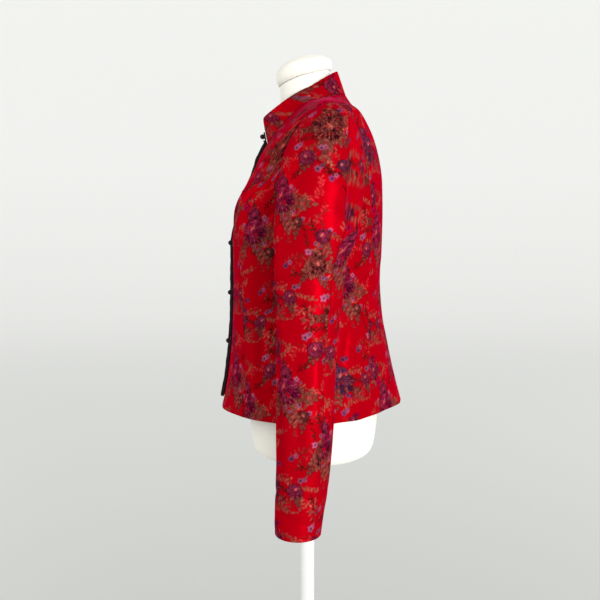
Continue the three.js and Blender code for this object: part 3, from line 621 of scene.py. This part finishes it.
# Long arched sprays between them: start, heading, length, bend and leaf.
ARCHES = (
    (20, 132, 60, 52, -90, 5.2), (92, 160, 250, 50, 80, 5.2), (150, 92, 200, 46, -90, 5.2),
    (84, 30, 350, 46, 90, 5.2), (186, 172, 110, 48, -90, 5.2), (66, 150, 120, 40, 80, 5),
    (128, 84, 120, 40, -80, 5), (12, 66, 100, 40, 80, 5), (140, 20, 80, 36, -70, 5),
    (66, 210, 60, 40, -90, 5), (134, 190, 20, 36, 80, 5), (196, 84, 250, 30, 70, 5),
    (20, 8, 330, 36, 70, 5), (30, 150, 340, 30, 60, 5), (88, 132, 30, 30, -60, 5),
    (152, 176, 40, 34, -70, 5), (44, 228, 200, 34, 70, 5), (100, 60, 20, 34, 80, 5),
    (186, 16, 200, 30, -60, 5),
)


def draw_chart():
    """One repeat. What is woven first lies below."""
    for k, (x, y, angle, length, bend, leaf) in enumerate(ARCHES):
        spray(x, y, angle, length, bend, leaf, (TAN, SALMON, OLIVE, SALMON)[k % 4])
        if k % 3 == 0:
            blossom(x, y, 4.3, 12 * k, VIOLET)
            blossom(x + 6, y + 4, 3.2, 9 * k, MAUVE * 0.8)
    for values in CLUSTERS:
        cluster(*values)


draw_chart()
# The yarns blur each shape's edge a little.
for axis in (0, 1):
    chart = 0.15 * np.roll(chart, 1, axis) + 0.7 * chart + 0.15 * np.roll(chart, -1, axis)


def woven(flat, shift):
    """The chart's colour at places on the flat cloth."""
    x = (flat[..., 0] + shift[0]) / (PIXEL * WOVEN_SCALE)
    y = (flat[..., 1] + shift[1]) / (PIXEL * WOVEN_SCALE)
    i, j = np.floor(y).astype(int), np.floor(x).astype(int)
    a, b = (y - i)[..., None], (x - j)[..., None]
    i0, i1, j0, j1 = i % CELLS_UP, (i + 1) % CELLS_UP, j % CELLS_ACROSS, (j + 1) % CELLS_ACROSS
    return ((1 - a) * ((1 - b) * chart[i0, j0] + b * chart[i0, j1])
            + a * ((1 - b) * chart[i1, j0] + b * chart[i1, j1]))


# ---- materials


def new_material(name, colour, roughness, metallic=0.0):
    made = bpy.data.materials.new(name)
    made.use_nodes = True
    shader = made.node_tree.nodes["Principled BSDF"]
    shader.inputs["Base Color"].default_value = (*colour, 1)
    shader.inputs["Roughness"].default_value = roughness
    shader.inputs["Metallic"].default_value = metallic
    return made, made.node_tree, shader


def node(tree, kind, values=None, **settings):
    made = tree.nodes.new(kind)
    for key, value in settings.items():
        setattr(made, key, value)
    for key, value in (values or {}).items():
        made.inputs[key].default_value = value
    return made


def link(source, output, target, name):
    source.id_data.links.new(source.outputs[output], target.inputs[name])


def scaled(source, output, gain, offset=0.0):
    """The source's value times gain, plus offset."""
    made = node(source.id_data, "ShaderNodeMath", {1: gain, 2: offset}, operation="MULTIPLY_ADD")
    link(source, output, made, 0)
    return made


def noise(place, output, **values):
    made = node(place.id_data, "ShaderNodeTexNoise", values)
    link(place, output, made, "Vector")
    return made


def brocade_material():
    """A satin ground with raised woven flowers, and a faint yarn grain across it."""
    made, tree, shader = new_material("brocade", GROUND, 0.5, 0.24)
    shader.inputs["Specular Tint"].default_value = (0.8, 0.02, 0.08, 1)
    shader.inputs["Specular IOR Level"].default_value = 0.0
    shader.inputs["Sheen Weight"].default_value = 0.4
    shader.inputs["Sheen Roughness"].default_value = 0.35
    shader.inputs["Sheen Tint"].default_value = (0.6, 0.0, 0.085, 1)
    picture = node(tree, "ShaderNodeAttribute", attribute_name="chart")
    place = node(tree, "ShaderNodeAttribute", attribute_name="flat")
    yarn = node(tree, "ShaderNodeMapping", {"Scale": (0.35, 1.9, 1)})
    link(place, "Vector", yarn, "Vector")
    grain = noise(yarn, "Vector", Scale=1.0, Detail=2.0, Roughness=0.6)
    slub = noise(place, "Vector", Scale=0.035, Detail=2.0)
    shade = scaled(grain, "Fac", 0.34, 0.83)
    tinted = node(tree, "ShaderNodeVectorMath", operation="SCALE")
    link(picture, "Color", tinted, 0)
    link(shade, "Value", tinted, "Scale")
    inside = node(tree, "ShaderNodeNewGeometry")
    lined = node(tree, "ShaderNodeMix", data_type="RGBA")
    lined.inputs["B"].default_value = (*srgb(120, 10, 22), 1)
    link(inside, "Backfacing", lined, "Factor")
    link(tinted, "Vector", lined, "A")
    link(lined, "Result", shader, "Base Color")
    rough = scaled(picture, "Alpha", 0.14, 0.43)
    link(rough, "Value", shader, "Roughness")
    relief = scaled(grain, "Fac", 0.35)
    link(picture, "Alpha", relief, 2)
    wave = scaled(slub, "Fac", 9.0)
    link(relief, "Value", wave, 2)
    bump = node(tree, "ShaderNodeBump", {"Strength": 0.55, "Distance": 0.00035})
    link(wave, "Value", bump, "Height")
    link(bump, "Normal", shader, "Normal")
    return made


def plain_cloth(name, colour, roughness, sheen, tint, scale, strength):
    """A plain cloth with a fine nap."""
    made, tree, shader = new_material(name, colour, roughness)
    shader.inputs["Specular IOR Level"].default_value = 0.2
    shader.inputs["Sheen Weight"].default_value = sheen
    shader.inputs["Sheen Roughness"].default_value = 0.5
    shader.inputs["Sheen Tint"].default_value = (*tint, 1)
    place = node(tree, "ShaderNodeTexCoord")
    nap = noise(place, "Object", Scale=scale, Detail=3.0)
    ramp = node(tree, "ShaderNodeMix", data_type="RGBA")
    ramp.inputs["A"].default_value = (*(np.array(colour) * 0.9), 1)
    ramp.inputs["B"].default_value = (*np.minimum(np.array(colour) * 1.08, 1), 1)
    link(nap, "Fac", ramp, "Factor")
    link(ramp, "Result", shader, "Base Color")
    bump = node(tree, "ShaderNodeBump", {"Strength": strength, "Distance": 0.0003})
    link(nap, "Fac", bump, "Height")
    link(bump, "Normal", shader, "Normal")
    return made


def painted_metal(name, colour):
    """Smooth paint over metal, a little uneven in its gloss."""
    made, tree, shader = new_material(name, colour, 0.35)
    place = node(tree, "ShaderNodeTexCoord")
    patch = noise(place, "Object", Scale=40.0, Detail=3.0)
    gloss = scaled(patch, "Fac", 0.12, 0.28)
    link(gloss, "Value", shader, "Roughness")
    return made


brocade = brocade_material()
dark_trim = plain_cloth("dark_trim", srgb(30, 10, 20), 0.6, 0.25, (0.35, 0.12, 0.2), 900, 0.5)
form_cover = plain_cloth("form_cover", srgb(232, 229, 220), 0.8, 0.2, (1, 1, 1), 1200, 0.35)
stand_paint = painted_metal("stand_paint", srgb(214, 214, 211))

# ---- the jacket


def cloth_piece(name, points, flat, shift, turn_low=0.0):
    """A finished piece of brocade, in place of the CAD node of the same name."""
    points, flat = rolled(points, flat, turn_low)
    piece = mesh_of(name + "_cloth", points, brocade, woven(flat, shift), flat)
    shown_for(piece, name)
    return piece


# How each piece of the body is bounded, the shift of its chart, and its flat cut in metres and square metres.
BODY_PIECES = (
    ("front", lambda v: 0 * v, front_edge, NECK, (52, 18), (0.205, 0.535, 0.0721)),
    ("side_front", front_seam, armhole_front, PRINCESS_TOP, (140, 60), (0.193, 0.422, 0.0500)),
    ("side_back", armhole_back, back_seam, PRINCESS_TOP, (30, 150), (0.163, 0.420, 0.0383)),
    ("back", back_edge, lambda v: 180 + 0 * v, NECK, (96, 66), (0.215, 0.557, 0.0812)),
)


def negative(edge):
    return lambda v: -edge(v)


def chart_place(shift, step, side):
    return shift if side == "left" else (shift[0] + step[0], shift[1] + step[1])


def piece_spacing(name, side):
    return SPACING[name] * (1 if side == "left" else COARSER)


def make_body():
    for name, start, end, top, shift, cut in BODY_PIECES:
        for side in ("left", "right"):
            low, high = (start, end) if side == "left" else (negative(end), negative(start))
            points, angle = even_grid(body_point, low, high, 0, top, piece_spacing(name, side))
            flat = flat_lay(points, (0, 1 if "front" in name else -1, 0))
            points = creased(points, angle, BODY_CREASES, BODY_DEGREE, BODY_PRESS)
            offset = chart_place(shift, BODY_CHART_STEP, side)
            cloth_piece(f"{name}_{side}", points, flat, offset, HEM_TURN)


def sleeve_from_cuff(turn, v):
    """The sleeve with its rows from the cuff up."""
    return sleeve_point(-turn, SLEEVE_END - v)


def make_sleeves():
    pieces = (
        ("top_sleeve", BACK_SLEEVE_SEAM, FRONT_SLEEVE_SEAM, (58, 10), (0.197, 0.665, 0.0823)),
        ("under_sleeve", FRONT_SLEEVE_SEAM, BACK_SLEEVE_SEAM + 360, (150, 90), (0.192, 0.655, 0.0866)),
    )
    for name, start, end, shift, cut in pieces:
        for side in ("left", "right"):
            points, angle = even_grid(
                sleeve_from_cuff, lambda v: -end + 0 * v, lambda v: -start + 0 * v, 0, SLEEVE_END,
                piece_spacing(name, side))
            flat = flat_lay(points, (-1, 0, 0))
            press = LEFT_SLEEVE_PRESS
            if side == "right":
                press = RIGHT_SLEEVE_PRESS
                points = points[:, ::-1] * np.array([-1, 1, 1])
                flat = flat[:, ::-1] * np.array([-1, 1])
                angle = angle[:, ::-1]
            points = creased(points, -angle, SLEEVE_CREASES, SLEEVE_DEGREE, press)
            offset = chart_place(shift, SLEEVE_CHART_STEP, side)
            cloth_piece(f"{name}_{side}", points, flat, offset, CUFF_TURN)


def collar_point(angle, share):
    """The collar's outer face, with share 0 at the neckline and 1 at its upper edge."""
    low = body_point(angle, NECK)
    low[..., 2] += COLLAR_GAP
    high = section_point(COLLAR_TOP, angle, 0)
    height = np.linalg.norm(high - low, axis=-1)
    from_end = np.abs(low[..., 0]) - COLLAR_END
    into_corner = np.maximum(COLLAR_CORNER - from_end, 0)
    drop = COLLAR_CORNER - np.sqrt(np.maximum(0, COLLAR_CORNER**2 - into_corner**2))
    cut = np.where((np.cos(np.radians(angle)) > 0) & (from_end < COLLAR_CORNER), drop, 0)
    return low + (high - low) * (share * (1 - cut / height))[..., None]


def make_collar():
    start = math.degrees(math.asin((COLLAR_END / BODY["half"][NECK]) ** (BODY["squareFront"][NECK] / 2)))
    # Its columns are closer together at the rounded corners in front.
    angles = np.concatenate([
        np.linspace(start, 20, 40), np.linspace(20, 340, 280)[1:-1], np.linspace(340, 360 - start, 40)])
    shares = np.linspace(0, 1, 24)
    points = collar_point(*np.broadcast_arrays(angles, shares[:, None]))
    n = normals(points)
    flat = flat_lay(points, (0, 0, 0))
    soft = 0.5 * np.sin(np.radians(angles * 5 + 40)) * np.sin(np.radians(angles * 2.3))
    points = points + n * (shares[:, None] ** 2 * soft)[..., None]
    # A folded strip: up the outer face, over its rounded edge and down the inner one.
    over = np.linspace(0, np.pi, 7)[1:-1]
    tall = points[-1] - points[-2]
    tall /= np.linalg.norm(tall, axis=-1, keepdims=True)
    rim = [points[-1] + n[-1] * (CLOTH / 2) * (np.cos(a) - 1) + tall * (CLOTH / 2) * np.sin(a) for a in over]
    inner = (points - n * CLOTH)[::-1]
    all_points = np.concatenate([points, np.stack(rim), inner])
    all_flat = np.concatenate([flat, np.stack([flat[-1]] * len(rim)), flat[::-1]])
    first = (all_points[:, :1] + all_points[::-1][:, :1]) / 2
    last = (all_points[:, -1:] + all_points[::-1][:, -1:]) / 2
    all_points = np.concatenate([first, all_points, last], 1)
    all_flat = np.concatenate([all_flat[:, :1], all_flat, all_flat[:, -1:]], 1)
    piece = mesh_of("collar_cloth", all_points, brocade, woven(all_flat, (20, 140)), all_flat)
    shown_for(piece, "collar")


# ---- the band, the knots and the loops


def solve(rising, goal, low, high):
    for _ in range(40):
        middle = (low + high) / 2
        if rising(middle) < goal:
            low = middle
        else:
            high = middle
    return (low + high) / 2


def before_front(x, v, proud):
    """A point in front of the cloth, at x across the front. Past the neckline it runs on straight up."""
    on_cloth = min(v, NECK)
    angle = solve(lambda turn: float(body_point(turn, on_cloth)[0]), x, -60, 60)
    here = body_point(angle, on_cloth)
    round_step = body_point(angle + 0.6, on_cloth) - body_point(angle - 0.6, on_cloth)
    up_step = body_point(angle, min(on_cloth + 0.08, NECK)) - body_point(angle, max(on_cloth - 0.08, 0))
    n = np.cross(round_step, up_step)
    past = max(v - NECK, 0)
    share = min(past / NECK_BEND, 1)
    upright = np.array([0, -1, -ABOVE_NECK_LEAN]) / math.hypot(1, ABOVE_NECK_LEAN)
    facing = n / np.linalg.norm(n) * (1 - share) + upright * share
    return here + facing / np.linalg.norm(facing) * proud + np.array([0, -past * ABOVE_NECK_LEAN, past])


def section_at_height(z):
    top = BODY["zFront"][NECK]
    if z > top:
        return NECK + z - top
    return solve(lambda s: float(body_point(0, s)[2]), z, 0, NECK)


def towards_middle(ring, share):
    return ring + (ring.mean(1, keepdims=True) - ring) * share


def make_band():
    """A strip folded to a soft roll, a little uneven along its length, with a piped edge each side."""
    heights = np.arange(BODY["zFront"][0] + BAND_FOOT, BAND_TOP_Z + 0.1, 3.0)
    middle = -BAND_INSET - BAND_WIDTH / 2
    half = BAND_WIDTH / 2
    turns = np.radians(np.linspace(0, 360, 33)[:-1])
    rows = []
    for k, z in enumerate(heights):
        v = section_at_height(z)
        foot, top = before_front(middle, v, BAND_FLOOR), before_front(middle, v, BAND_PROUD)
        out = (top - foot) / np.linalg.norm(top - foot)
        deep = BAND_PROUD - BAND_FLOOR
        near_end = min(k, len(heights) - 1 - k)
        fill = 1 - 0.25 * math.exp(-near_end)
        wobble = 0.25 * math.sin(k * 0.37) + 0.2 * math.sin(k * 0.91 + 1)
        ring = []
        for a in turns:
            cos, sin = math.cos(a), math.sin(a)
            sx = math.copysign(abs(cos) ** 0.45, cos)
            sy = math.copysign(abs(sin) ** 0.5, sin)
            groove = 0.5 * math.exp(-((abs(sx) - 0.62) / 0.1) ** 2) if sy > 0.5 else 0
            depth = BAND_FLOOR + deep / 2 * (1 + sy * fill) - groove + wobble * (sy > 0)
            ring.append(foot + out * (depth - BAND_FLOOR) + np.array([half * sx * fill, 0, 0]))
        rows.append(ring)
    points = np.array(rows)[:, ::-1]
    foot_end, top_end = points[:1], points[-1:]
    points = np.concatenate([
        towards_middle(foot_end, 1), towards_middle(foot_end, 0.5), points,
        towards_middle(top_end, 0.5), towards_middle(top_end, 1)])
    # The strip's long edges meet behind, against the cloth.
    points = np.roll(points, -BAND_BEHIND, 1)
    points = np.concatenate([points, points[:, :1]], 1)
    piece = mesh_of("front_band_cloth", points, dark_trim)
    shown_for(piece, "front_band")


def torus_grid(major, minor, around=32, section=12, twist=0.0):
    a = np.linspace(0, 2 * np.pi, around + 1)[:, None]
    b = np.linspace(0, 2 * np.pi, section + 1)[None, :-1]
    plait = 1 + twist * np.cos(a * 14 + b * 2)
    r = major + minor * plait * np.cos(b)
    return np.stack([r * np.cos(a), r * np.sin(a), minor * plait * np.sin(b) + 0 * a], -1)


def turned_to(points, axis):
    """Turns points so that their Z axis lies along an axis."""
    axis = axis / np.linalg.norm(axis)
    side = np.cross([1, 0, 0], axis)
    side /= np.linalg.norm(side)
    return points @ np.stack([np.cross(side, axis), side, axis])


def grids_mesh(name, grids, looks):
    """One piece from several grids whose columns close into rings."""
    points, quads, base = [], [], 0
    for grid in grids:
        quads.append(base + quads_of(grid, True)[:, [0, 3, 2, 1]])
        points.append(grid.reshape(-1, 3))
        base += len(points[-1])
    piece = new_object(name, np.concatenate(points), np.concatenate(quads), looks)
    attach(piece, "root")
    return piece


def make_knots():
    """Each ball is three plaited rings of cord about one middle. Its loop is a ring of twisted cord."""
    cord = 0.4 * KNOT_RADIUS
    ring = torus_grid(KNOT_RADIUS - cord, cord)
    tilts = (np.array([0.0, 0.35, 1.0]), np.array([1.0, 0.3, 0.15]), np.array([0.2, 1.0, -0.35]))
    for k, z in enumerate(KNOT_HEIGHTS, 1):
        v = section_at_height(z)
        foot = before_front(KNOT_X, v, 0)
        facing = before_front(KNOT_X, v, 1) - foot
        balls = [turned_to(turned_to(ring, tilt), facing) + foot + facing * KNOT_PROUD for tilt in tilts]
        shank = torus_grid(SHANK_RADIUS, SHANK_CORD, 24, 10)
        balls.append(turned_to(shank, facing) + foot + facing * SHANK_PROUD)
        piece = grids_mesh(f"knot_{k}_cord", balls, dark_trim)
        shown_for(piece, f"knot_{k}")
        twisted = torus_grid(KNOT_RADIUS + LOOP_CORD, LOOP_CORD, 60, 10, 0.14)
        loop = turned_to(twisted, facing) + foot + facing * LOOP_PROUD
        piece = grids_mesh(f"loop_{k}_cord", [loop], dark_trim)
        shown_for(piece, f"loop_{k}")


# ---- the dress form and its stand


def capped_loft(sections, rows, columns):
    v = np.linspace(0, len(sections["half"]) - 1, rows)[:, None]
    angles = np.linspace(0, 360, columns + 1)[None, :-1]
    points = section_point(sections, angles, v)
    low, high = points[:1], points[-1:]
    low_mid, high_mid = low.mean(1, keepdims=True), high.mean(1, keepdims=True)
    below = [low_mid + (low - low_mid) * s for s in (0.001, 0.6, 0.97)]
    above = [high_mid + (high - high_mid) * s for s in (0.97, 0.6, 0.001)]
    return np.concatenate([*below, points, *above])


def turned_grid(profile, columns=96):
    """A grid turned about the Z axis from pairs of radius and height."""
    turns = np.linspace(0, 2 * np.pi, columns + 1)[None, :-1]
    radius, height = np.array(profile, float).T[:, :, None]
    return np.stack([radius * np.cos(turns), radius * np.sin(turns), height + 0 * turns], -1)


def lathe(name, profile, looks, columns):
    return mesh_of(name, turned_grid(profile, columns), looks, wrap=True)


def rounded_profile(steps_in, bevel):
    """Softens each corner of a profile of radius and height pairs."""
    out = []
    for k, (r, z) in enumerate(steps_in):
        if k in (0, len(steps_in) - 1):
            out.append((r, z))
            continue
        for other in (steps_in[k - 1], steps_in[k + 1]):
            gap = math.hypot(other[0] - r, other[1] - z)
            s = min(bevel, gap / 2) / gap
            out.append((r + (other[0] - r) * s, z + (other[1] - z) * s))
    return out


STAND = (
    ("base_plate", "base", [(0.01, 0), (176, 0), (176, 6), (172, 10), (0.01, 10)], 1.2, 96),
    ("pole_foot_metal", "pole_foot",
     [(0.01, 10.3), (24, 10.3), (24, 18.3), (16.5, 44.3), (0.01, 44.3)], 1.0, 96),
    ("pole_tube", "pole", [(0.01, 44.6), (12.5, 44.6), (12.5, 737.4), (0.01, 737.4)], 0.4, 64),
    ("pole_flange_metal", "pole_flange",
     [(0.01, 737.7), (31, 737.7), (34, 740.7), (34, 747.7), (0.01, 747.7)], 0.8, 96),
)


def make_form():
    for cad_node, sections, rows in (("form_torso", FORM, 90), ("neck_cap", NECK_CAP, 40)):
        piece = mesh_of(f"{cad_node}_cover", capped_loft(sections, rows, 96), form_cover, wrap=True)
        shown_for(piece, cad_node)
    for name, cad_node, profile, bevel, columns in STAND:
        shown_for(lathe(name, rounded_profile(profile, bevel), stand_paint, columns), cad_node)


# ---- floor, light and camera


FLOOR_Z, FLOOR_RADIUS, FLOOR_CURVE, WALL_TOP = -0.5, 8000, 6000, 18000


def make_floor():
    """A flat floor that curves up far away on every side."""
    made, tree, shader = new_material("floor", srgb(158, 161, 158), 0.95)
    shader.inputs["Specular IOR Level"].default_value = 0.0
    shader.inputs["Emission Color"].default_value = (1, 0.995, 0.98, 1)
    place = node(tree, "ShaderNodeNewGeometry")
    away = node(tree, "ShaderNodeVectorMath", operation="LENGTH")
    link(place, "Position", away, 0)
    # It glows more with distance, as a lit wall would.
    share = node(tree, "ShaderNodeMapRange", {"From Min": 0.0, "From Max": 13.0})
    link(away, "Value", share, "Value")
    curve = node(tree, "ShaderNodeMath", {1: 0.45}, operation="POWER")
    link(share, "Result", curve, 0)
    glow = scaled(curve, "Value", 0.56, 0.07)
    link(glow, "Value", shader, "Emission Strength")
    profile = [(r, FLOOR_Z) for r in (0.01, 2000, 5000, FLOOR_RADIUS)]
    profile += [(FLOOR_RADIUS + FLOOR_CURVE * math.sin(a), FLOOR_Z + FLOOR_CURVE * (1 - math.cos(a)))
                for a in np.radians(np.arange(6, 91, 6))]
    profile.append((FLOOR_RADIUS + FLOOR_CURVE, WALL_TOP))
    points = turned_grid(profile)
    floor = new_object("floor", points.reshape(-1, 3), quads_of(points, True), made)


def area_light(name, place, target, size, power):
    lamp = bpy.data.lights.new(name, "AREA")
    lamp.shape = "DISK"
    lamp.size = size
    lamp.energy = power
    made = bpy.data.objects.new(name, lamp)
    made.location = place
    way = np.array(target) - np.array(place)
    made.rotation_mode = "QUATERNION"
    made.rotation_quaternion = Vector(way).to_track_quat("-Z", "Y")
    bpy.context.collection.objects.link(made)


def make_light():
    world = bpy.data.worlds.new("studio")
    bpy.context.scene.world = world
    world.use_nodes = True
    background = world.node_tree.nodes["Background"]
    background.inputs["Color"].default_value = (1, 0.99, 0.98, 1)
    background.inputs["Strength"].default_value = 0.24
    area_light("key", (4.4, 2.2, 1.6), (0, 0, 1.0), 1.7, 222)
    area_light("front_fill", (-0.8, -4.4, 2.6), (0, 0, 1.0), 3.0, 80)
    area_light("back_fill", (-2.2, 4.2, 3.2), (0, 0, 1.0), 3.0, 70)


CAMERA_AWAY, CAMERA_Y, CAMERA_HEIGHT = 1.5, -0.013, 1.125
CAMERA_DOWN = 4.5
LENS = 51.42


def make_camera():
    data = bpy.data.cameras.new("camera")
    data.lens = LENS
    data.sensor_width = 36
    data.dof.use_dof = False
    data.clip_start = 0.05
    data.clip_end = 100
    camera = bpy.data.objects.new("camera", data)
    camera.location = (CAMERA_AWAY, CAMERA_Y, CAMERA_HEIGHT)
    camera.rotation_euler = (math.radians(90 - CAMERA_DOWN), 0, math.radians(90))
    bpy.context.collection.objects.link(camera)
    bpy.context.scene.camera = camera


make_body()
make_sleeves()
make_collar()
make_band()
make_knots()
make_form()
make_floor()
make_light()
make_camera()
bpy.context.scene.view_settings.view_transform = "Standard"
